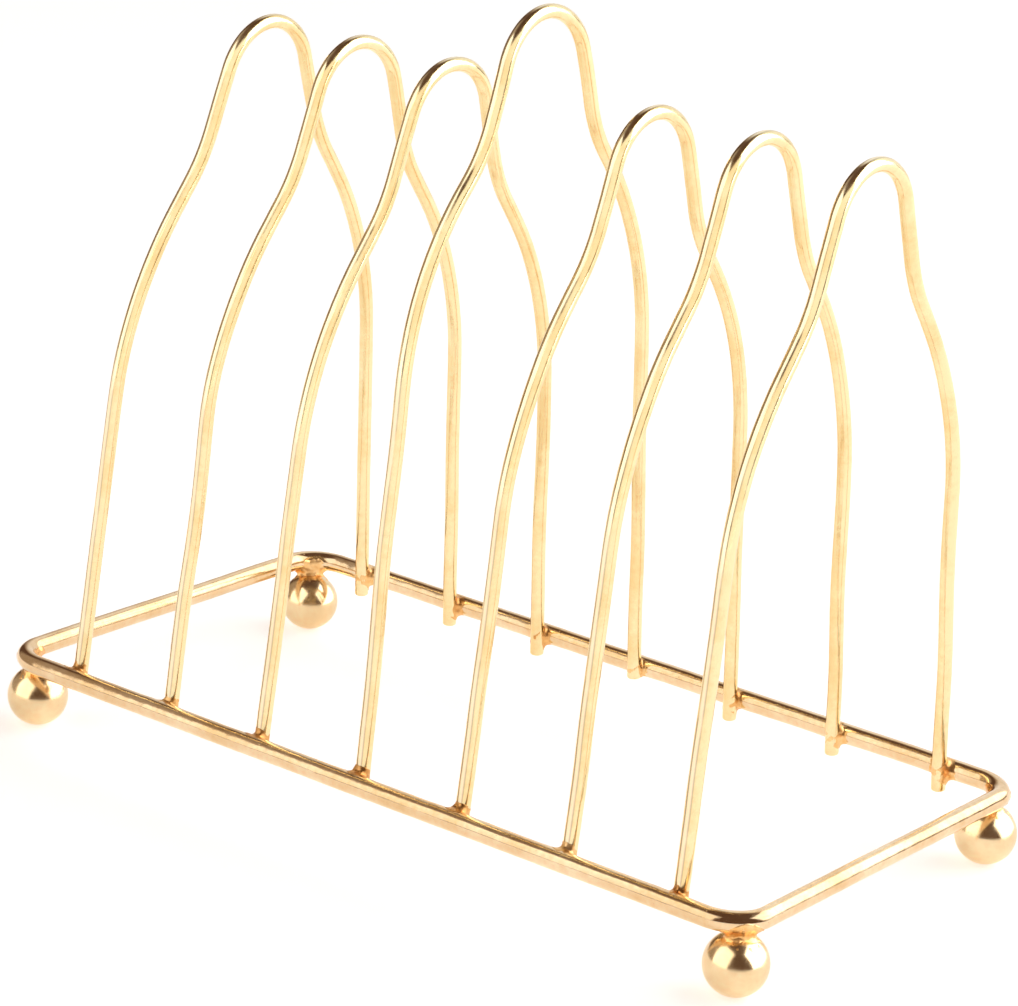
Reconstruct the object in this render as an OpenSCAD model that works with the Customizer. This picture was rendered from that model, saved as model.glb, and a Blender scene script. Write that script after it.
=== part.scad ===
// Wire toast rack: a base ring of heavy wire on four ball feet, with seven
// bottle-shaped hoops of lighter wire welded upright along its two long rails.
// The fourth hoop is taller than the rest and is the one the rack is carried by.
// +X runs along the row of hoops, +Z is up, and the origin is on the table
// under the middle of the rack.

/* [Base ring] */
// Length over the outside of the ring
base_l = 187; // [182:1:200]
// Width over the outside of the ring
base_w = 101; // [99:1:110]
// Wire thickness of the ring
ring_wire_d = 4.2; // [3.6:0.1:5]
// Bend radius at the four corners, to the middle of the wire
ring_bend_r = 8; // [7:0.5:12]

/* [Hoops] */
// Distance from one hoop to the next
hoop_pitch = 25; // [23:0.5:26]
// Wire thickness of the hoops
hoop_wire_d = 3; // [2.5:0.1:3.4]
// Height of the six toast hoops above the table
hoop_h = 147.5; // [140:0.5:152]
// How far each leg is pressed into the rail it is welded to
weld_set = 0.4; // [0.2:0.1:0.6]
// Lean of the lower legs towards the middle of the rack, in degrees
leg_lean = 5.5; // [4:0.5:7]
// Slope of the shoulders from upright, in degrees
shoulder_slope = 38; // [34:1:41]
// Lean of the neck from upright, in degrees
neck_lean = 18.5; // [16:0.5:20]
// Bend radius from leg to shoulder
shoulder_r = 69; // [60:1:75]
// Bend radius from shoulder to neck
neck_r = 33; // [28:1:38]
// Bend radius of the top of the hoop
top_r = 12.5; // [11:0.5:14]
// Straight length of the neck
neck_l = 12.5; // [8:0.5:16]

/* [Carrying hoop] */
// Height of the tall hoop above the table
carry_h = 162; // [156:0.5:168]
// Lean of its lower legs, in degrees
carry_leg_lean = 4.5; // [4:0.5:5]
// Slope of its shoulders, in degrees
carry_shoulder_slope = 41; // [39:0.5:42]
// Lean of its neck, in degrees
carry_neck_lean = 18; // [16:0.5:20]
// Bend radius from leg to shoulder
carry_shoulder_r = 66; // [60:1:68]
// Bend radius from shoulder to neck
carry_neck_r = 30; // [26:1:32]
// Bend radius of its top
carry_top_r = 13; // [11:0.5:14]
// Straight length of its neck
carry_neck_l = 11.5; // [8:0.5:16]

/* [Hand assembly] */
// How far each hoop sits from its even place along the rails
hoop_slip = [0.4, 0.3, -0.7, 0, -0.4, 0, 0.5]; // [-1:0.1:1]
// How far each hoop leans out of upright along the row, in degrees
hoop_tilt = [1, 0.3, 0.2, -1.4, -0.4, -0.8, -1.2]; // [-2:0.1:2]
// How far the front legs end below the middle of the ring wire
front_leg_end = 1.8; // [1:0.1:3]
// How far the back legs end below the middle of the ring wire
back_leg_end = 4; // [1:0.1:5]
// The same for the back leg of the carrying hoop, which is cut short
carry_back_leg_end = 1.9; // [1:0.1:5]

/* [Ball feet] */
// Diameter of a ball foot
ball_d = 12.6; // [10:0.1:14]
// Gap between the top of a ball and the underside of the ring
ball_gap = 0.7; // [0.5:0.1:1.5]
// Ball centres inward of the ring wire along the rack
foot_inset_x = 3.2; // [2.5:0.1:4]
// Ball centres inward of the ring wire across the rack
foot_inset_y = 4.2; // [3:0.1:5]
// How much further inward the front left ball was set
front_left_slip = 1.2; // [0:0.1:1.5]

/* [Welds] */
// Thickness of the weld bead where a leg meets a rail
bead_d = 4; // [3.6:0.1:4.4]
// Length of that bead along the rail
bead_l = 6; // [5:0.1:7]
// Width of the brazed collar where it sits on a ball
collar_d = 7; // [6:0.1:8]
// Width of the collar where it meets the ring
collar_top_d = 5.8; // [4.4:0.1:6]

/* [Hidden] */
$fn = 96;
GOLD = [0.93, 0.75, 0.45];
PALE_GOLD = [0.97, 0.84, 0.58];
WELD_GOLD = [0.84, 0.60, 0.30];

HOOPS = 7;
CARRY = 4;
SIDES = ["front", "back"];
CORNERS = ["front_left", "front_right", "back_left", "back_right"];

ring_z = ball_d + ball_gap + ring_wire_d / 2; // middle of the ring wire
end_x = (base_l - ring_wire_d) / 2;           // middle of the two end rails
rail_y = (base_w - ring_wire_d) / 2;          // middle of the two long rails
leg_y = rail_y - (ring_wire_d + hoop_wire_d) / 2 + weld_set; // leg at rail height
bead_y = rail_y - ring_wire_d / 2;            // where leg and rail touch
straight_d = hoop_wire_d - 0.03;              // straight stretches of a hoop
lap = 0.4;                                    // how far they run into the bends

function hoop_name(i) = i == CARRY ? "carrying_hoop" : str("hoop_", i);
function weld_name(i, side) = str("weld_", i, "_", side);
function hoop_x(i) = hoop_pitch * (i - CARRY) + hoop_slip[i - 1];
function lean_of(i) = i == CARRY ? carry_leg_lean : leg_lean;
function side_sign(side) = side == "front" ? -1 : 1;
function corner_x(c) = c == "front_left" || c == "back_left" ? -1 : 1;
function corner_y(c) = c == "front_left" || c == "front_right" ? -1 : 1;
function ball_x(c) = corner_x(c) * (end_x - foot_inset_x);
function ball_y(c) = corner_y(c) * (rail_y - foot_inset_y - (c == "front_left" ? front_left_slip : 0));

// ---- wire bending: each step draws one stretch of hoop wire that runs
// downwards from the origin, then puts its children at its lower end ----

// The straights are a hair thinner than the bends and run a little way into
// them, so that the whole wire joins up as one solid
module straight(l) {
    translate([0, 0, -l - lap]) cylinder(d = straight_d, h = l + 2 * lap);
    translate([0, 0, -l]) children();
}

module cut_end(l) {
    translate([0, 0, -l]) cylinder(d = straight_d, h = l + lap);
}

// Bends the wire by a degrees: outwards (+Y) for out = 1, inwards for out = -1
module bend(r, a, out) {
    translate([0, out * r, 0]) {
        rotate([-90, 0, -90 * out])
            rotate_extrude(angle = a) translate([r, 0]) circle(d = hoop_wire_d);
        rotate([out * a, 0, 0]) translate([0, -out * r, 0]) children();
    }
}

// One side of a hoop, from the end of the top bend down to the leg's cut end,
// with the origin at the middle of the top bend. The straight of the shoulder
// takes up what is left, so that the leg is at y = leg_y where it passes the ring.
module hoop_side(rise, lean, slope, neck, r_shoulder, r_neck, r_top, l_neck, end_drop) {
    y_neck = r_top * cos(neck) + l_neck * sin(neck);
    z_neck = rise - r_top * (1 - sin(neck)) - l_neck * cos(neck);
    y_slope = y_neck + r_neck * (cos(neck) - cos(slope));
    z_slope = z_neck - r_neck * (sin(slope) - sin(neck));
    y_turn = r_shoulder * (cos(lean) - cos(slope));
    z_turn = r_shoulder * (sin(slope) - sin(lean));
    reach = leg_y - y_slope - y_turn - (z_slope - z_turn) * tan(lean);
    l_slope = reach / (sin(slope) - cos(slope) * tan(lean));
    z_leg = z_slope - l_slope * cos(slope) - z_turn;
    rotate([neck, 0, 0]) translate([0, r_top, 0])
        straight(l_neck)
        bend(r_neck, slope - neck, 1)
        straight(l_slope)
        bend(r_shoulder, slope - lean, -1)
        cut_end((z_leg + end_drop) / cos(lean));
}

// A whole hoop in the YZ plane, with z = 0 at the middle of the ring wire
module hoop_wire(rise, lean, slope, neck, r_shoulder, r_neck, r_top, l_neck, back_end) {
    translate([0, 0, rise - r_top]) {
        rotate([90, 0, 90]) rotate([0, 0, neck])
            rotate_extrude(angle = 180 - 2 * neck) translate([r_top, 0]) circle(d = hoop_wire_d);
        hoop_side(rise, lean, slope, neck, r_shoulder, r_neck, r_top, l_neck, back_end);
        mirror([0, 1, 0])
            hoop_side(rise, lean, slope, neck, r_shoulder, r_neck, r_top, l_neck, front_leg_end);
    }
}

// Puts a hoop, or something on it, in its place along the rails
module at_hoop(i) {
    translate([hoop_x(i), 0, ring_z]) rotate([0, hoop_tilt[i - 1], 0]) children();
}

module long_rail(side) {
    l = 2 * (end_x - ring_bend_r);
    translate([-l / 2, side * rail_y, ring_z]) rotate([0, 90, 0]) cylinder(d = ring_wire_d, h = l);
}

module end_rail(side) {
    l = 2 * (rail_y - ring_bend_r);
    translate([side * end_x, l / 2, ring_z]) rotate([90, 0, 0]) cylinder(d = ring_wire_d, h = l);
}

// The bend between the rails at one corner; turn is where it starts, in degrees
module ring_corner(sx, sy, turn) {
    translate([sx * (end_x - ring_bend_r), sy * (rail_y - ring_bend_r), ring_z]) rotate([0, 0, turn])
        rotate_extrude(angle = 90) translate([ring_bend_r, 0]) circle(d = ring_wire_d);
}

module ring_wire() {
    for (side = [-1, 1]) {
        long_rail(side);
        end_rail(side);
    }
    ring_corner(1, 1, 0);
    ring_corner(-1, 1, 90);
    ring_corner(-1, -1, 180);
    ring_corner(1, -1, 270);
}

// ---- the pieces ----

module base_ring() {
    color(GOLD) union() ring_wire();
}

// The legs are notched where they are pressed into the rails
module hoop(i) {
    color(PALE_GOLD) difference() {
        at_hoop(i) {
            if (i == CARRY)
                hoop_wire(carry_h - ring_z - hoop_wire_d / 2, carry_leg_lean, carry_shoulder_slope,
                    carry_neck_lean, carry_shoulder_r, carry_neck_r, carry_top_r, carry_neck_l,
                    carry_back_leg_end);
            else
                hoop_wire(hoop_h - ring_z - hoop_wire_d / 2, leg_lean, shoulder_slope,
                    neck_lean, shoulder_r, neck_r, top_r, neck_l, back_leg_end);
        }
        long_rail(-1);
        long_rail(1);
    }
}

// The bead fills the crevice all round the spot where a leg touches a rail
module leg_weld(i, side) {
    s = side_sign(side);
    half = (bead_l - bead_d) / 2;
    color(WELD_GOLD) difference() {
        translate([hoop_x(i), s * bead_y, ring_z]) {
            for (e = [-1, 1]) translate([e * half, 0, 0]) sphere(d = bead_d);
            translate([-half, 0, 0]) rotate([0, 90, 0]) cylinder(d = bead_d, h = 2 * half);
        }
        long_rail(s);
        at_hoop(i) translate([0, s * leg_y, 0]) rotate([s * lean_of(i), 0, 0])
            translate([0, 0, -bead_d * 2]) cylinder(d = hoop_wire_d, h = bead_d * 4);
    }
}

module ball(c) {
    translate([ball_x(c), ball_y(c), ball_d / 2]) sphere(d = ball_d);
}

module foot(c) {
    color(GOLD) ball(c);
}

// The brazed collar leans from the ball out to the wire above it
module foot_collar(c) {
    sx = corner_x(c);
    sy = corner_y(c);
    from_bend = [ball_x(c) - sx * (end_x - ring_bend_r), ball_y(c) - sy * (rail_y - ring_bend_r)];
    out = (ring_bend_r - norm(from_bend)) / 2 / norm(from_bend);
    low_z = ball_d - 1.2;
    color(WELD_GOLD) difference() {
        translate([ball_x(c) + from_bend[0] * out, ball_y(c) + from_bend[1] * out, low_z])
            cylinder(d1 = collar_d, d2 = collar_top_d, h = ring_z - ring_wire_d / 4 - low_z);
        ball(c);
        ring_wire();
    }
}

base_ring();
for (i = [1:HOOPS]) {
    hoop(i);
    for (s = SIDES) leg_weld(i, s);
}
for (c = CORNERS) {
    foot(c);
    foot_collar(c);
}
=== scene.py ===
"""Looks of a gold-plated wire toast rack. The builders work in millimetres, as the CAD does."""

import math

import bpy
import numpy as np
from mathutils import Matrix, Vector


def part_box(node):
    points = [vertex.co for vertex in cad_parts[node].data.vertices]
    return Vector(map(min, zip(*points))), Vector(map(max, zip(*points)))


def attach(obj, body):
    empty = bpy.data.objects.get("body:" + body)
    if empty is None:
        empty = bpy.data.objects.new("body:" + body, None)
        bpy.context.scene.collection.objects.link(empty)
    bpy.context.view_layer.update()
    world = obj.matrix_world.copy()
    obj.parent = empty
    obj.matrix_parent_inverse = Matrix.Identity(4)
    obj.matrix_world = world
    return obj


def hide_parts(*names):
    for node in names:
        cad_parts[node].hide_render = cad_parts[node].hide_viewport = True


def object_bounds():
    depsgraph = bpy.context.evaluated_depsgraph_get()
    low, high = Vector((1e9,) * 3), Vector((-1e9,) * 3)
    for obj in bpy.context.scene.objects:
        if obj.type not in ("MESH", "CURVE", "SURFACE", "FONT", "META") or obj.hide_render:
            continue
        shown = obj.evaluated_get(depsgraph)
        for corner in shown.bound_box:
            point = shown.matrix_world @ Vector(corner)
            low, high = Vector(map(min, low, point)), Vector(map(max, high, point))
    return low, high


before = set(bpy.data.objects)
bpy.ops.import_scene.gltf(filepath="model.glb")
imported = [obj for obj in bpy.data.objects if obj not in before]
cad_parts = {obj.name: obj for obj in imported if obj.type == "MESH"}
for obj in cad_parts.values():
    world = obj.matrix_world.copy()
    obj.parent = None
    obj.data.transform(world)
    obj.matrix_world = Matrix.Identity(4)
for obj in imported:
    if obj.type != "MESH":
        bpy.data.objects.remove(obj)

CAD_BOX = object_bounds()
MM = 0.001


# ---- places and sizes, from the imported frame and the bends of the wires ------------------

def box_mm(node):
    """Lowest and highest corner of a CAD node, in millimetres."""
    low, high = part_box(node)
    return np.array(low) / MM, np.array(high) / MM


RING_LOW, RING_HIGH = box_mm("base_ring")
RING_R = (RING_HIGH[2] - RING_LOW[2]) / 2
RING_Z = (RING_HIGH[2] + RING_LOW[2]) / 2
RING_BEND_R = 8.0
END_X = (RING_HIGH[0] - RING_LOW[0]) / 2 - RING_R
RAIL_Y = (RING_HIGH[1] - RING_LOW[1]) / 2 - RING_R

HOOP_R = 1.5
# How deep a leg is sunk into its rail
WELD_SET = 0.4
LEG_Y = RAIL_Y - RING_R - HOOP_R + WELD_SET
# How far the front legs end below the ring's middle
FRONT_LEG_END = 1.8
# Bends of a hoop, in millimetres and degrees, and how far its back leg ends below the ring's middle
TOAST_HOOP = dict(
    lean=5.5, slope=38, neck=18.5,
    r_shoulder=69, r_neck=33, r_top=12.5, l_neck=12.5, back_end=4.0)
CARRYING_HOOP = dict(
    lean=4.5, slope=41, neck=18,
    r_shoulder=66, r_neck=30, r_top=13, l_neck=11.5, back_end=1.9)
# Node, bends, and how far it leans out of upright along the row, in degrees
HOOPS = [
    ("hoop_1", TOAST_HOOP, 1.0),
    ("hoop_2", TOAST_HOOP, 0.3),
    ("hoop_3", TOAST_HOOP, 0.2),
    ("carrying_hoop", CARRYING_HOOP, -1.4),
    ("hoop_5", TOAST_HOOP, -0.4),
    ("hoop_6", TOAST_HOOP, -0.8),
    ("hoop_7", TOAST_HOOP, -1.2),
]
CORNERS = ["front_left", "front_right", "back_left", "back_right"]


def hoop_xs():
    """Where each hoop's legs cross the ring's middle, along the rack."""
    places = []
    for node, _, tilt in HOOPS:
        low, high = box_mm(node)
        mid_z = (low[2] + high[2]) / 2 - RING_Z
        places.append((low[0] + high[0]) / 2 - mid_z * math.tan(math.radians(tilt)))
    return places


# ---- camera ------------------------------------------------------------------------------

# Degrees round from the front, above the floor, and about the line of sight
CAMERA_AZIMUTH, CAMERA_ELEVATION, CAMERA_ROLL = 36.011, 18.143, 4.657
# In metres: how far the camera is from its target, and the target from the middle of the rack
CAMERA_DISTANCE = 0.775353
TARGET_OFFSET = (0.0003, -0.0048, -0.0178)
# The focal length in widths of a pixel, for an image that many pixels wide
FOCAL_PX, IMAGE_W = 3925.2, 1018
SENSOR_W = 36


def direction(azimuth, elevation):
    """Unit vector towards a place in the studio, in degrees round from the front and up."""
    a, e = math.radians(azimuth), math.radians(elevation)
    return Vector((math.sin(a) * math.cos(e), -math.cos(a) * math.cos(e), math.sin(e)))


def add_camera():
    roll = math.radians(CAMERA_ROLL)
    back = direction(CAMERA_AZIMUTH, CAMERA_ELEVATION)
    right = direction(CAMERA_AZIMUTH + 90, 0)
    up = back.cross(right)
    side = right * math.cos(roll) + up * math.sin(roll)
    above = up * math.cos(roll) - right * math.sin(roll)
    place = (CAD_BOX[0] + CAD_BOX[1]) / 2 + Vector(TARGET_OFFSET) + back * CAMERA_DISTANCE
    camera = bpy.data.objects.new("camera", bpy.data.cameras.new("camera"))
    bpy.context.scene.collection.objects.link(camera)
    camera.matrix_world = Matrix.Translation(place) @ Matrix((side, above, back)).transposed().to_4x4()
    camera.data.sensor_width = SENSOR_W
    camera.data.lens = SENSOR_W * FOCAL_PX / IMAGE_W
    camera.data.clip_start, camera.data.clip_end = 0.05, 50
    bpy.context.scene.camera = camera


# ---- small numeric and mesh tools --------------------------------------------------------

def waves(seed, dimensions, wavelength):
    """A smooth random function of points, about -1 to 1, with bumps about wavelength apart."""
    count = 9
    rng = np.random.default_rng(seed)
    heading = rng.normal(size=(count, dimensions))
    heading /= np.linalg.norm(heading, axis=1, keepdims=True)
    turn = heading * (2 * math.pi / wavelength) * rng.uniform(0.6, 1.5, (count, 1))
    phase = rng.uniform(0, 2 * math.pi, count)

    def value(points):
        return np.sin(np.asarray(points) @ turn.T + phase).sum(-1) / math.sqrt(count) / 1.2

    return value


def unit(vectors):
    """Each row of vectors, made 1 long."""
    return vectors / np.linalg.norm(vectors, axis=-1, keepdims=True)


def grid_quads(cells):
    """Faces of a square grid of cells by cells, whose points are numbered row by row."""
    i, j = (k.ravel() for k in np.mgrid[0:cells, 0:cells])
    row = cells + 1
    return np.stack([i * row + j, (i + 1) * row + j, (i + 1) * row + j + 1, i * row + j + 1], 1)


def add_mesh(name, vertices, faces, material, wire=None):
    """A smooth-shaded mesh object from millimetres. wire is each corner's place on its wire, which
    the material reads."""
    mesh = bpy.data.meshes.new(name)
    mesh.from_pydata((np.asarray(vertices) * MM).tolist(), [], [list(map(int, f)) for f in faces])
    mesh.validate()
    mesh.shade_smooth()
    if wire is not None:
        attribute = mesh.attributes.new("wire", "FLOAT_VECTOR", "CORNER")
        attribute.data.foreach_set("vector", np.asarray(wire, np.float32).ravel())
    mesh.materials.append(material)
    piece = bpy.data.objects.new(name, mesh)
    bpy.context.scene.collection.objects.link(piece)
    return piece


def stand_for(piece, node):
    """The piece rides with the rack and is shown instead of the CAD node."""
    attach(piece, "root")
    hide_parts(node)
    return piece


# ---- swept wire --------------------------------------------------------------------------

# Distance between the points of an arc, before a path is evened out
ARC_STEP = 0.1


def arc(centre, radius, start, end):
    """Points of an arc in a plane, angles in degrees."""
    count = max(2, int(abs(math.radians(end - start)) * radius / ARC_STEP))
    angle = np.radians(np.linspace(start, end, count + 1))
    return np.stack([centre[0] + radius * np.cos(angle), centre[1] + radius * np.sin(angle)], 1)


def even(points, step, closed=False):
    """The same polyline with points the same distance apart."""
    if closed:
        points = np.concatenate([points, points[:1]])
    length = np.concatenate([[0], np.cumsum(np.linalg.norm(np.diff(points, axis=0), axis=1))])
    count = int(round(length[-1] / step))
    at = np.linspace(0, length[-1], count + 1)
    if closed:
        at = at[:-1]
    return np.stack([np.interp(at, length, points[:, k]) for k in range(points.shape[1])], 1)


def side_angles(sides):
    """Where a wire's sides are, as angles from the inside of its bends."""
    return np.arange(sides) * 2 * math.pi / sides


def uneven_skin(count, step, radius, sides, seed, wavelength):
    """A smooth random height for each side of each of a wire's cross-sections, about -1 to 1."""
    angle = side_angles(sides)[None]
    along = np.arange(count)[:, None] * step
    skin = np.broadcast_arrays(along, radius * np.cos(angle), radius * np.sin(angle))
    return waves(seed, 3, wavelength)(np.stack(skin, -1))


def sweep(name, centres, normal, radii, material, closed):
    """Wire along centres, in a plane with that normal. radii has a row for each centre and a column
    for each side."""
    rings, sides = radii.shape
    if closed:
        tangent = unit(np.roll(centres, -1, 0) - np.roll(centres, 1, 0))
    else:
        tangent = unit(np.gradient(centres, axis=0))
    normal = np.asarray(normal, float)
    inward = np.cross(normal, tangent)
    angle = side_angles(sides)
    spoke = np.cos(angle)[None, :, None] * inward[:, None] + np.sin(angle)[None, :, None] * normal
    vertices = (centres[:, None] + spoke * radii[..., None]).reshape(-1, 3)
    step = np.linalg.norm(np.roll(centres, -1, 0) - centres, axis=1)
    length = np.concatenate([[0], np.cumsum(step)])

    last = rings if closed else rings - 1
    ring, side = (a.ravel() for a in np.mgrid[0:last, 0:sides])
    corner_ring = np.stack([ring, ring, ring + 1, ring + 1], 1)
    corner_side = np.stack([side, side + 1, side + 1, side], 1)
    faces = ((corner_ring % rings) * sides + corner_side % sides).tolist()
    turn = corner_side * 2 * math.pi / sides
    mean_r = radii.mean()
    wire = np.stack([length[corner_ring], mean_r * np.cos(turn), mean_r * np.sin(turn)], -1).reshape(-1, 3)
    if not closed:
        for at, where in ((0, 0), (rings - 1, length[rings - 1])):
            cap = [at * sides + k for k in range(sides)]
            faces.append(cap if at else cap[::-1])
            wire = np.concatenate([wire, np.tile([where, 0, 0], (sides, 1))])
    return add_mesh(name, vertices, faces, material, wire)


# ---- the base ring -----------------------------------------------------------------------

RING_STEP, RING_SIDES = 0.7, 32
# How far the ring is bent out of true, and how far it is drawn in so that it stays inside the CAD wire
RING_WANDER, RING_INSET, RING_THINNED = 0.05, 0.06, 0.05
RING_UNEVEN = 0.012
# How much the wire swells near a weld: to each side of the leg, where and how widely, and less so at
# the leg itself
RING_SWELL = 0.07
SWELL_BESIDE, SWELL_BESIDE_WIDTH = 3.4, 1.5
SWELL_AT_LEG, SWELL_AT_LEG_WIDTH = 0.6, 2.2


def build_ring(material):
    """The base ring: one wire, with hand-bent waviness, a little fuller where each leg is welded to it."""
    x, y = END_X - RING_BEND_R, RAIL_Y - RING_BEND_R
    bends = [(x, y), (-x, y), (-x, -y), (x, -y)]
    path = np.concatenate([
        arc(centre, RING_BEND_R, 90 * quarter, 90 * (quarter + 1)) for quarter, centre in enumerate(bends)])
    path = even(path, RING_STEP, closed=True)
    centres = np.column_stack([path, np.full(len(path), RING_Z)])
    out, up = waves(11, 3, 26)(centres), waves(12, 3, 34)(centres)
    centres[:, :2] += (RING_WANDER * out - RING_INSET)[:, None] * unit(path)
    centres[:, 2] += RING_WANDER * up

    radii = np.full((len(path), RING_SIDES), RING_R - RING_THINNED)
    # the swelling is mostly on the side that faces the leg
    facing = 0.55 + 0.45 * np.cos(side_angles(RING_SIDES))
    for x in hoop_xs():
        for side in (-1, 1):
            away = np.hypot(path[:, 0] - x, path[:, 1] - side * RAIL_Y)
            swell = np.exp(-((away - SWELL_BESIDE) / SWELL_BESIDE_WIDTH) ** 2)
            swell += SWELL_AT_LEG * np.exp(-(away / SWELL_AT_LEG_WIDTH) ** 2)
            radii += RING_SWELL * swell[:, None] * facing[None]
    radii += RING_UNEVEN * uneven_skin(len(path), RING_STEP, RING_R, RING_SIDES, seed=13, wavelength=5)
    piece = sweep("ring_wire", centres, (0, 0, 1), radii, material, closed=True)
    return [stand_for(piece, "base_ring")]


# ---- the hoops ---------------------------------------------------------------------------

HOOP_STEP, HOOP_SIDES = 0.75, 24
# How far a hoop is bent out of true, in its own plane and out of it
HOOP_WANDER, HOOP_SWAY = 0.22, 0.13
# Over how much of the wire that fades out, towards a leg's end and towards the top
LEG_FADE, TOP_FADE = 25, 20
HOOP_THINNED, HOOP_UNEVEN = 0.02, 0.008
# The rounded rim of a cut end: how long it is, how far along it its second ring of points is, and the
# shares of the wire's radius at the cut and there
RIM, RIM_PART, RIM_SHARES = 0.22, 0.4, (0.88, 0.965)


def hoop_half(rise, lean, slope, neck, r_shoulder, r_neck, r_top, l_neck, end_drop):
    """Centreline of half a hoop as (outward, up) points, from the top's middle to the leg's cut end."""
    lean, slope, neck = (math.radians(a) for a in (lean, slope, neck))
    # where the top's arc, the neck's arc and the straight slope end
    y_neck = r_top * math.cos(neck) + l_neck * math.sin(neck)
    z_neck = rise - r_top + r_top * math.sin(neck) - l_neck * math.cos(neck)
    y_slope = y_neck + r_neck * (math.cos(neck) - math.cos(slope))
    z_slope = z_neck - r_neck * (math.sin(slope) - math.sin(neck))
    y_turn = r_shoulder * (math.cos(lean) - math.cos(slope))
    z_turn = r_shoulder * (math.sin(slope) - math.sin(lean))
    reach = LEG_Y - y_slope - y_turn - (z_slope - z_turn) * math.tan(lean)
    l_slope = reach / (math.sin(slope) - math.cos(slope) * math.tan(lean))
    y_low, z_low = y_slope + l_slope * math.sin(slope), z_slope - l_slope * math.cos(slope)

    flare_centre = (y_neck + r_neck * math.cos(neck), z_neck + r_neck * math.sin(neck))
    shoulder_centre = (y_low - r_shoulder * math.cos(slope), z_low - r_shoulder * math.sin(slope))
    lean_degrees, slope_degrees, neck_degrees = (math.degrees(a) for a in (lean, slope, neck))
    return np.concatenate([
        arc((0, rise - r_top), r_top, 90, neck_degrees),
        arc(flare_centre, r_neck, 180 + neck_degrees, 180 + slope_degrees),
        arc(shoulder_centre, r_shoulder, slope_degrees, lean_degrees),
        [[LEG_Y + end_drop * math.tan(lean), -end_drop]],
    ])


def hoop_path(number, rise, back_end, **bends):
    """A hoop's centreline in its own plane, as (along y, up) points, and its sway out of that plane."""
    front = hoop_half(rise, end_drop=FRONT_LEG_END, **bends) * (-1, 1)
    rear = hoop_half(rise, end_drop=back_end, **bends)
    path = even(np.concatenate([front[::-1], rear[1:]]), HOOP_STEP)
    length = np.arange(len(path)) * HOOP_STEP
    # the bends aren't quite true, but the top and both welded ends stay where the frame has them
    from_end = np.minimum(length, length[-1] - length)
    from_top = np.abs(length - length[-1] / 2)
    held = np.clip(from_end / LEG_FADE, 0, 1) * np.clip(from_top / TOP_FADE, 0, 1)
    sway = HOOP_SWAY * waves(40 + number, 1, 55)(length[:, None]) * held
    out = HOOP_WANDER * waves(60 + number, 1, 70)(length[:, None]) * held
    tangent = unit(np.gradient(path, axis=0))
    path = path + out[:, None] * np.stack([tangent[:, 1], -tangent[:, 0]], 1)
    # two more points at each cut end, for its rounded rim
    first, last = tangent[0] * RIM, tangent[-1] * RIM
    path = np.concatenate([
        [path[0], path[0] + first * RIM_PART, path[0] + first],
        path[1:-1],
        [path[-1] - last, path[-1] - last * RIM_PART, path[-1]],
    ])
    return path, np.pad(sway, 2, mode="edge")


def build_hoops(material):
    pieces = []
    for number, ((node, bends, tilt), x) in enumerate(zip(HOOPS, hoop_xs())):
        t = math.radians(tilt)
        top = box_mm(node)[1][2] - HOOP_R
        path, sway = hoop_path(number, (top - RING_Z) / math.cos(t), **bends)
        centres = np.column_stack([
            x + path[:, 1] * math.sin(t) + sway * math.cos(t),
            path[:, 0],
            RING_Z + path[:, 1] * math.cos(t) - sway * math.sin(t),
        ])
        radii = np.full((len(path), HOOP_SIDES), HOOP_R - HOOP_THINNED)
        radii += HOOP_UNEVEN * uneven_skin(len(path), HOOP_STEP, HOOP_R, HOOP_SIDES, 80 + number, 4)
        for from_end, share in enumerate(RIM_SHARES):
            radii[[from_end, -1 - from_end]] *= share
        normal = (math.cos(t), 0, -math.sin(t))
        piece = sweep(f"{node}_wire", centres, normal, radii, material, closed=False)
        pieces.append(stand_for(piece, node))
    return pieces


# ---- distance fields and their surfaces --------------------------------------------------

def ring_distance(p):
    """Distance to the ring wire's skin."""
    q = np.abs(p[..., :2]) - (END_X - RING_BEND_R, RAIL_Y - RING_BEND_R)
    flat = np.linalg.norm(np.maximum(q, 0), axis=-1) + np.minimum(q.max(-1), 0) - RING_BEND_R
    return np.hypot(flat, p[..., 2] - RING_Z) - RING_R


def leg_distance(p, middle, heading, end):
    """Distance to a straight leg's skin. end is how far below its middle it is cut."""
    along = (p - middle) @ heading
    side = np.linalg.norm(p - middle - along[..., None] * heading, axis=-1) - HOOP_R
    return np.maximum(side, -end - along)


def blend_distance(a, b, size):
    """The nearer of two skins, with a fillet of about that size where they meet."""
    h = np.maximum(size - np.abs(a - b), 0) / size
    return np.minimum(a, b) - h * h * size / 4


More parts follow.
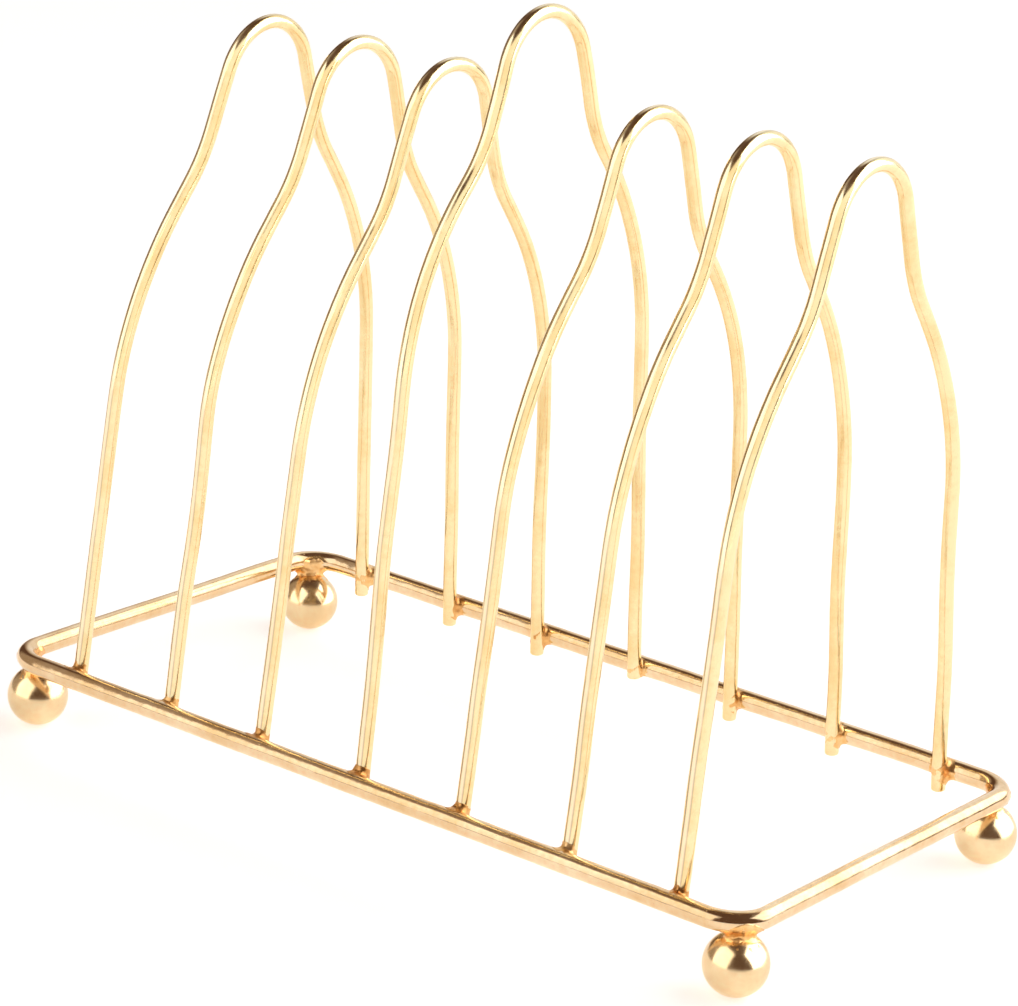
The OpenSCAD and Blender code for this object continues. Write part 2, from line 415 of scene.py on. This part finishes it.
def iso_surface(distance, low, high, step):
    """Vertices and faces of the surface where distance(points) passes through 0, by surface nets."""
    shape = np.ceil((high - low) / step).astype(int) + 1
    field = distance(np.moveaxis(np.indices(shape), 0, -1) * step + low)
    total, hits, found = np.zeros((*shape, 3)), np.zeros(shape), []
    for axis in range(3):
        ahead = np.roll(field, -1, axis)
        cut = (field < 0) != (ahead < 0)
        cut[tuple(slice(-1, None) if k == axis else slice(None) for k in range(3))] = False
        index = np.argwhere(cut)
        place = index.astype(float)
        place[:, axis] += field[cut] / (field[cut] - ahead[cut])
        u, v = (axis + 1) % 3, (axis + 2) % 3
        cells = []
        for du, dv in ((0, 0), (1, 0), (1, 1), (0, 1)):
            cell = index.copy()
            cell[:, u] -= du
            cell[:, v] -= dv
            np.add.at(total, tuple(cell.T), place)
            np.add.at(hits, tuple(cell.T), 1)
            cells.append(cell)
        found.append((cells, field[cut] < 0))
    used = hits > 0
    number = np.cumsum(used.ravel()).reshape(shape) - 1
    vertices = total[used] / hits[used][:, None] * step + low
    faces = []
    for cells, below in found:
        quad = np.stack([number[tuple(c.T)] for c in cells], 1)
        quad[~below] = quad[~below, ::-1]
        faces.append(quad)
    # two Newton steps bring the vertices onto the surface
    h = step * 0.05
    for _ in range(2):
        ahead_behind = [(distance(vertices + h * e), distance(vertices - h * e)) for e in np.eye(3)]
        slope = np.stack([(ahead - behind) / (2 * h) for ahead, behind in ahead_behind], -1)
        steepness = np.maximum((slope ** 2).sum(-1), 0.2)
        move = -(distance(vertices) / steepness)[:, None] * slope
        vertices = vertices + np.clip(move, -step / 2, step / 2)
    return vertices, np.concatenate(faces)


# ---- welds, balls and collars ------------------------------------------------------------

# How far a melted skin lies inside the blend of its neighbours
MELT_INSET = 0.05
WELD_GRID, COLLAR_GRID = 0.16, 0.18
# A weld's fillet and how much it varies, and how far the weld stops short of the leg's cut end
WELD_FILLET, WELD_FILLET_VARIES, WELD_SHORT = 2.0, 0.5, 0.1
# The weld's middle is that far inside the rail's skin, and it reaches that far from there, stretched
# along the rail and up
WELD_INSIDE, WELD_REACH, WELD_STRETCH = 0.2, 2.9, (1.25, 1, 1.1)
WELD_BOX = np.array([4.2, 3.6, 3.8])
WELD_LUMPS = 0.05
# A collar is an oval stub between ball and ring, widest along the ring's bend
COLLAR_OUT, COLLAR_ALONG, COLLAR_MEAN_R = 1.5, 2.9, 1.9
COLLAR_RING_FILLET, COLLAR_BALL_FILLET = 1.5, 0.9
COLLAR_REACH, COLLAR_REACH_UP = 4.3, 1.2
COLLAR_BOX_LOW, COLLAR_BOX_HIGH = np.array([-4.6, -4.6, -3.4]), np.array([4.6, 4.6, 6.0])
COLLAR_LUMPS = 0.06
# A ball's cells along each side of the cube it is blown from, its inset and how far it is out of round
BALL_CELLS, BALL_INSET, BALL_UNEVEN = 40, 0.012, 0.010


def weld_bead(number, bends, tilt, x, side):
    """The lumpy fillet of melted metal between a leg and the front (-1) or back (1) rail."""
    lean, t = math.radians(bends["lean"]), math.radians(tilt)
    heading = unit(np.array([
        math.cos(lean) * math.sin(t), -side * math.sin(lean), math.cos(lean) * math.cos(t)]))
    leg = np.array([x, side * LEG_Y, RING_Z])
    spot = np.array([x, side * (RAIL_Y - RING_R + WELD_INSIDE), RING_Z])
    lumps = waves(100 + 2 * number + (side > 0), 3, 1.7)
    fillet = WELD_FILLET + WELD_FILLET_VARIES * waves(7, 1, 1.0)([[number + side * 0.3]])[0]
    end = (bends["back_end"] if side > 0 else FRONT_LEG_END) - WELD_SHORT

    def distance(p):
        joint = blend_distance(ring_distance(p), leg_distance(p, leg, heading, end), fillet)
        reach = np.linalg.norm((p - spot) / WELD_STRETCH, axis=-1) - WELD_REACH
        return np.maximum(joint + MELT_INSET - WELD_LUMPS * lumps(p), reach)

    return iso_surface(distance, spot - WELD_BOX, spot + WELD_BOX, WELD_GRID)


def build_welds(material):
    pieces = []
    for number, ((_, bends, tilt), x) in enumerate(zip(HOOPS, hoop_xs()), 1):
        for side, name in ((-1, "front"), (1, "back")):
            bead = weld_bead(number, bends, tilt, x, side)
            piece = add_mesh(f"weld_{number}_{name}_bead", *bead, material)
            pieces.append(stand_for(piece, f"weld_{number}_{name}"))
    return pieces


def unit_sphere():
    """Vertices and faces of a sphere of radius 1, blown from a cube."""
    grid = np.tan(np.linspace(-1, 1, BALL_CELLS + 1) * math.pi / 4)
    a, b = np.meshgrid(grid, grid, indexing="ij")
    quad = grid_quads(BALL_CELLS)
    vertices, faces = [], []
    for axis in range(3):
        for sign in (-1, 1):
            faces.append(len(vertices) * a.size + (quad if sign > 0 else quad[:, ::-1]))
            p = np.empty((*a.shape, 3))
            p[..., axis], p[..., (axis + 1) % 3], p[..., (axis + 2) % 3] = sign, a, b
            vertices.append(p.reshape(-1, 3))
    vertices, faces = unit(np.concatenate(vertices)), np.concatenate(faces)
    # the cube's sides share the points along their edges
    _, keep, same = np.unique(np.round(vertices, 6), axis=0, return_index=True, return_inverse=True)
    return vertices[keep], same.ravel()[faces]


def brazed_collar(number, corner, centre, radius):
    """The stub that joins the ball with that centre and radius to the ring."""
    low, high = box_mm(f"foot_collar_{corner}")
    middle = (low + high) / 2
    base = np.array([middle[0], middle[1], low[2]])
    out = unit((middle - centre)[:2])
    lumps = waves(170 + number, 3, 1.6)

    def distance(p):
        q = p - base
        outward, along = q[..., :2] @ out, q[..., :2] @ (-out[1], out[0])
        core = (np.hypot(outward / COLLAR_OUT, along / COLLAR_ALONG) - 1) * COLLAR_MEAN_R
        core = np.maximum(core, np.maximum(-q[..., 2], q[..., 2] - (RING_Z - base[2])))
        ball = np.linalg.norm(p - centre, axis=-1) - radius
        joint = blend_distance(core, ring_distance(p), COLLAR_RING_FILLET)
        joint = blend_distance(joint, ball, COLLAR_BALL_FILLET)
        reach = np.linalg.norm(q - (0, 0, COLLAR_REACH_UP), axis=-1) - COLLAR_REACH
        return np.maximum(joint + MELT_INSET - COLLAR_LUMPS * lumps(p), reach)

    return iso_surface(distance, base + COLLAR_BOX_LOW, base + COLLAR_BOX_HIGH, COLLAR_GRID)


def build_feet(ball_material, collar_material):
    """Polished balls, each brazed to the ring through a short collar."""
    pieces = []
    sphere, faces = unit_sphere()
    for number, corner in enumerate(CORNERS):
        low, high = box_mm(f"foot_{corner}")
        centre, radius = (low + high) / 2, (high[2] - low[2]) / 2
        out_of_round = waves(150 + number, 3, 1.6)(sphere)
        vertices = centre + sphere * (radius - BALL_INSET + BALL_UNEVEN * out_of_round)[:, None]
        piece = add_mesh(f"ball_{corner}", vertices, faces, ball_material)
        pieces.append(stand_for(piece, f"foot_{corner}"))
        piece = add_mesh(f"collar_{corner}", *brazed_collar(number, corner, centre, radius), collar_material)
        pieces.append(stand_for(piece, f"foot_collar_{corner}"))
    return pieces


# ---- materials ---------------------------------------------------------------------------

class Nodes:
    """Adds shader nodes to a node tree in a few words."""

    def __init__(self, tree):
        self.tree = tree

    def add(self, kind, inputs=None, **settings):
        node = self.tree.nodes.new(kind)
        for key, value in settings.items():
            setattr(node, key, value)
        for key, value in (inputs or {}).items():
            if isinstance(value, bpy.types.NodeSocket):
                self.tree.links.new(value, node.inputs[key])
            else:
                node.inputs[key].default_value = value
        return node

    def math(self, operation, a, b=0.0):
        return self.add("ShaderNodeMath", {0: a, 1: b}, operation=operation).outputs[0]

    def vector(self, operation, a, b=(0, 0, 0), output=0):
        return self.add("ShaderNodeVectorMath", {0: a, 1: b}, operation=operation).outputs[output]

    def noise(self, vector, scale, detail=2.0, roughness=0.5):
        inputs = {"Vector": vector, "Scale": scale, "Detail": detail, "Roughness": roughness}
        return self.add("ShaderNodeTexNoise", inputs).outputs["Fac"]

    def ramp(self, factor, stops):
        """Colours at their positions along a factor."""
        node = self.add("ShaderNodeValToRGB", {"Fac": factor})
        elements = node.color_ramp.elements
        while len(elements) < len(stops):
            elements.new(0.5)
        for element, (position, colour) in zip(elements, stops):
            element.position = position
            element.color = (*colour, 1)
        return node.outputs["Color"]

    def mix(self, factor, colour, other):
        """colour, with that much of the other, a fixed one, laid over it."""
        return self.add("ShaderNodeMix", {0: factor, 6: colour, 7: (*other, 1)}, data_type="RGBA").outputs[2]

    def spread(self, value, low, high, to_low, to_high):
        """A value from low to high, mapped to between to_low and to_high and held there beyond."""
        inputs = {"Value": value, "From Min": low, "From Max": high, "To Min": to_low, "To Max": to_high}
        return self.add("ShaderNodeMapRange", inputs).outputs[0]


def new_material(name):
    material = bpy.data.materials.new(name)
    material.use_nodes = True
    material.node_tree.nodes.clear()
    return material, Nodes(material.node_tree)


# The tones of gold are spread over that much of the cloudy noise
TONE_POSITIONS = (0.36, 0.5, 0.64)
# Colours of the pale stripe of painted highlight and of the dark stripes of painted shade on the hoop wires
PAINTED_HIGHLIGHT_COLOUR = (0.93, 0.83, 0.62)
PAINTED_SHADE_COLOUR = (0.30, 0.22, 0.15)


def add_painted_highlight_and_shade(n, colour, wire, sides, depth):
    """A pale stripe of painted highlight and two broken dark stripes of painted shade, along the outer side
    of a wire.
    """
    along = n.vector("MULTIPLY", wire, (1, 0, 0))
    turn = n.math("ARCTAN2", sides["Z"], sides["Y"])
    wander = n.math("MULTIPLY", n.math("SUBTRACT", n.noise(along, scale=0.03), 0.5), 0.6)
    turn = n.math("ADD", turn, wander)
    highlight_mask = n.spread(n.math("ABSOLUTE", turn), 0.24, 0.34, 0.6, 0.0)
    # painted highlight: the pale stripe is laid over the wire's colour
    colour = n.mix(highlight_mask, colour, PAINTED_HIGHLIGHT_COLOUR)
    # the angle of each dark stripe of painted shade, where along the noise it starts, and how dark it is
    for angle, start, strength in ((-0.40, 0, depth), (0.32, 40, 0.5 * depth)):
        off = n.math("ABSOLUTE", n.math("SUBTRACT", turn, angle))
        gaps = n.noise(n.vector("ADD", along, (start, 0, 0)), scale=0.06, detail=3.0)
        broken = n.spread(gaps, 0.38, 0.48, 0.0, strength)
        shade_stripe_mask = n.math("MULTIPLY", n.spread(off, 0.05, 0.17, 1.0, 0.0), broken)
        # painted shade: each dark stripe is laid over the colour
        colour = n.mix(shade_stripe_mask, colour, PAINTED_SHADE_COLOUR)
    return colour


def plated(name, tones, rough, ripple, streak=0.0, pits=0.0, painted_side_light=0.0, painted_light_stripes=0.0):
    """Gold plating over metal. tones are three colours, and rough the least and greatest roughness.
    ripple, streak and pits are the depth of the unevenness, the drawing lines and the pits, in
    millimetres. The last two paint light into the colour: how much paler one side of the wire is painted,
    as painted highlight on one side and painted shade on the other, and how dark the stripes of painted
    shade beside a stripe of painted highlight are."""
    material, n = new_material(name)
    mm = n.vector("MULTIPLY", n.add("ShaderNodeTexCoord").outputs["Object"], (1000, 1000, 1000))
    clouds = n.noise(mm, scale=0.09, detail=3.0, roughness=0.55)
    specks = n.noise(mm, scale=0.8, detail=3.0, roughness=0.6)
    tone = n.math("ADD", n.math("MULTIPLY", clouds, 0.7), n.math("MULTIPLY", specks, 0.3))
    wire = n.add("ShaderNodeAttribute", attribute_name="wire").outputs["Vector"] if streak else None
    if painted_light_stripes:
        sides = n.add("ShaderNodeSeparateXYZ", {"Vector": wire}).outputs
        # painted highlight and painted shade: one side of the wire is made paler and the other darker
        tone = n.math("ADD", tone, n.math("MULTIPLY", sides["Z"], painted_side_light))
    colour = n.ramp(tone, list(zip(TONE_POSITIONS, tones)))
    # painted highlight and painted shade stripes along the wire
    if painted_light_stripes:
        colour = add_painted_highlight_and_shade(n, colour, wire, sides, painted_light_stripes)

    smears = n.noise(mm, scale=0.35, detail=4.0, roughness=0.65)
    roughness = n.spread(smears, 0.35, 0.68, *rough)
    height = n.math("MULTIPLY", n.noise(mm, scale=0.28, roughness=0.4), ripple)
    if streak:
        lines = n.noise(n.vector("MULTIPLY", wire, (0.05, 5.0, 5.0)), scale=1.0, detail=3.0, roughness=0.7)
        height = n.math("ADD", height, n.math("MULTIPLY", lines, streak))
    if pits:
        cells = n.add("ShaderNodeTexVoronoi", {"Vector": mm, "Scale": 0.9, "Randomness": 1.0})
        pit = n.spread(cells.outputs["Distance"], 0.0, 0.14, -1.0, 0.0)
        patch = n.spread(n.noise(mm, scale=0.22, detail=1.0), 0.5, 0.6, 0.0, 1.0)
        height = n.math("ADD", height, n.math("MULTIPLY", n.math("MULTIPLY", pit, patch), pits))
    bump = n.add("ShaderNodeBump", {"Height": height, "Strength": 1.0, "Distance": MM}).outputs["Normal"]
    shader = n.add("ShaderNodeBsdfPrincipled", {
        "Base Color": colour, "Metallic": 1.0, "Roughness": roughness, "Normal": bump})
    n.add("ShaderNodeOutputMaterial", {"Surface": shader.outputs[0]})
    return material


# ---- studio ------------------------------------------------------------------------------

ROOM_TONES = [(0.0, (0.120, 0.068, 0.044)), (0.36, (0.41, 0.33, 0.26)), (1.0, (1.0, 1.0, 1.0))]
# The softboxes stand round that point, in metres, and that far from it
SOFTBOX_MIDDLE, SOFTBOX_DISTANCE = Vector((0, 0, 0.05)), 1.7
# Power that gives each square metre of a softbox a radiance of 1, in watts
POWER_FOR_RADIANCE = 4
FLOOR_HALF_MM, FLOOR_CELLS = 4000.0, 8
FLOOR_GLOW = 0.50


def add_world():
    """A dim room: dark and warm overhead, grey at the left, pale behind the rack."""
    world = bpy.data.worlds.new("studio")
    bpy.context.scene.world = world
    world.use_nodes = True
    world.node_tree.nodes.clear()
    n = Nodes(world.node_tree)
    look = n.add("ShaderNodeTexCoord").outputs["Generated"]
    height = n.add("ShaderNodeSeparateXYZ", {"Vector": look}).outputs["Z"]
    level_look = n.vector("NORMALIZE", n.vector("MULTIPLY", look, (1, 1, 0)))

    def flat(azimuth, edge, paleness, top):
        """A soft-edged panel that way. edge is where it starts and is full, as cosines of the angle
        from its middle, and top where it starts to fade and has gone, as sines of the height."""
        facing = n.vector("DOT_PRODUCT", level_look, direction(azimuth, 0), "Value")
        return n.math("MULTIPLY", n.spread(facing, *edge, 0.0, paleness), n.spread(height, *top, 1.0, 0.0))

    behind_high = flat(176, (0.50, 0.78), 1.0, (0.66, 0.86))
    behind_low = flat(158, (0.62, 0.80), 0.9, (0.40, 0.58))
    # a dark slit at the horizon, on the right of the backdrop
    slit = flat(153, (0.982, 0.992), 1.0, (0.10, 0.17))
    behind = n.math("MULTIPLY", n.math("MAXIMUM", behind_low, behind_high), n.math("SUBTRACT", 1.0, slit))
    left = flat(-72, (0.80, 0.92), 0.36, (0.76, 0.90))
    colour = n.ramp(n.math("MAXIMUM", behind, left), ROOM_TONES)
    background = n.add("ShaderNodeBackground", {"Color": colour, "Strength": 1.0})
    n.add("ShaderNodeOutputWorld", {"Surface": background.outputs[0]})


def add_floor():
    """A pale seamless sheet under the rack."""
    grid = np.linspace(-FLOOR_HALF_MM, FLOOR_HALF_MM, FLOOR_CELLS + 1)
    x, y = np.meshgrid(grid, grid, indexing="ij")
    vertices = np.stack([x, y, np.zeros_like(x)], -1).reshape(-1, 3)
    material, n = new_material("floor_paper")
    place = n.add("ShaderNodeTexCoord").outputs["Object"]
    tones = [(0.3, (0.90, 0.90, 0.90)), (0.7, (0.94, 0.94, 0.94))]
    shader = n.add("ShaderNodeBsdfPrincipled", {
        "Base Color": n.ramp(n.noise(place, scale=400.0, detail=3.0), tones),
        "Roughness": 0.9, "Specular IOR Level": 0.1,
        "Emission Color": (1.0, 1.0, 1.0, 1.0), "Emission Strength": FLOOR_GLOW})
    n.add("ShaderNodeOutputMaterial", {"Surface": shader.outputs[0]})
    floor = add_mesh("floor", vertices, grid_quads(FLOOR_CELLS), material)
    return floor


def lit_group(name, pieces):
    """A collection of the pieces that some softboxes are kept for."""
    group = bpy.data.collections.new(name)
    for piece in pieces:
        group.objects.link(piece)
    return group


def add_softbox(name, azimuths, elevations, radiance, colour, group):
    """A softbox that fills those degrees as seen from the rack, and lights only the group's pieces."""
    azimuth, elevation = sum(azimuths) / 2, sum(elevations) / 2
    middle = direction(azimuth, elevation)
    half_turn, half_rise = (math.radians(abs(b - a) / 2) for a, b in (azimuths, elevations))
    width = 2 * SOFTBOX_DISTANCE * math.tan(half_turn) * math.cos(math.radians(elevation))
    height = 2 * SOFTBOX_DISTANCE * math.tan(half_rise)
    light = bpy.data.lights.new(name, "AREA")
    light.shape = "RECTANGLE"
    light.size, light.size_y = width, height
    light.energy = radiance * POWER_FOR_RADIANCE * width * height
    light.color = colour
    box = bpy.data.objects.new(name, light)
    bpy.context.scene.collection.objects.link(box)
    box.location = SOFTBOX_MIDDLE + middle * SOFTBOX_DISTANCE
    box.rotation_euler = middle.to_track_quat("Z", "Y").to_euler()
    box.visible_camera = False
    box.light_linking.receiver_collection = group


# ---- build -------------------------------------------------------------------------------

add_camera()
add_world()
floor = add_floor()

RING_TONES = [(0.75, 0.51, 0.26), (0.82, 0.59, 0.35), (0.88, 0.69, 0.45)]
HOOP_TONES = [(0.85, 0.62, 0.29), (0.87, 0.68, 0.35), (0.90, 0.76, 0.44)]
BALL_TONES = [(0.76, 0.55, 0.30), (0.82, 0.61, 0.35), (0.86, 0.67, 0.41)]
WELD_TONES = [(0.62, 0.29, 0.09), (0.86, 0.49, 0.18), (0.95, 0.64, 0.31)]
ring_gold = plated("ring_gold", RING_TONES, rough=(0.08, 0.20), ripple=0.055, streak=0.010, pits=0.06)
# the hoops' gold has painted light in it: one side painted paler, and stripes of painted highlight and
# painted shade
hoop_gold = plated("hoop_gold", HOOP_TONES, rough=(0.12, 0.24), ripple=0.05, streak=0.010,
                   painted_side_light=0.075, painted_light_stripes=0.8)
weld_gold = plated("weld_gold", WELD_TONES, rough=(0.26, 0.46), ripple=0.25, pits=0.05)
ball_gold = plated("ball_gold", BALL_TONES, rough=(0.16, 0.25), ripple=0.03, pits=0.012)
ring = build_ring(ring_gold)
hoops = build_hoops(hoop_gold)
welds = build_welds(weld_gold)
feet = build_feet(ball_gold, weld_gold)

WHITE, WARM = (1.0, 1.0, 1.0), (1.0, 0.98, 0.93)
on_floor = lit_group("lit_floor", [floor])
on_feet = lit_group("lit_feet", feet)
on_hoops = lit_group("lit_hoops", hoops)
on_ring = lit_group("lit_ring", ring + welds)
# Name, degrees round and up, radiance, colour and what it lights
SOFTBOXES = [
    ("floor_left", (-55, 2), (4, 60), 1.0, WHITE, on_floor),
    ("floor_right", (92, 168), (4, 62), 1.3, WHITE, on_floor),
    ("feet_left", (-57, 12), (-3, 60), 1.6, WARM, on_feet),
    ("feet_right", (84, 170), (-3, 62), 2.5, WHITE, on_feet),
    ("hoops_left", (-57, 4), (-4, 59), 1.15, WARM, on_hoops),
    ("hoops_front", (6, 96), (-4, 57), 0.86, WARM, on_hoops),
    ("hoops_right", (103, 160), (2, 64), 3.2, WHITE, on_hoops),
    ("ring_left", (-47, 4), (2, 55), 0.98, WARM, on_ring),
    ("ring_right", (100, 178), (10, 58), 1.15, WARM, on_ring),
]
for softbox in SOFTBOXES:
    add_softbox(*softbox)

scene = bpy.context.scene
scene.view_settings.view_transform = "Standard"
scene.view_settings.look = "None"
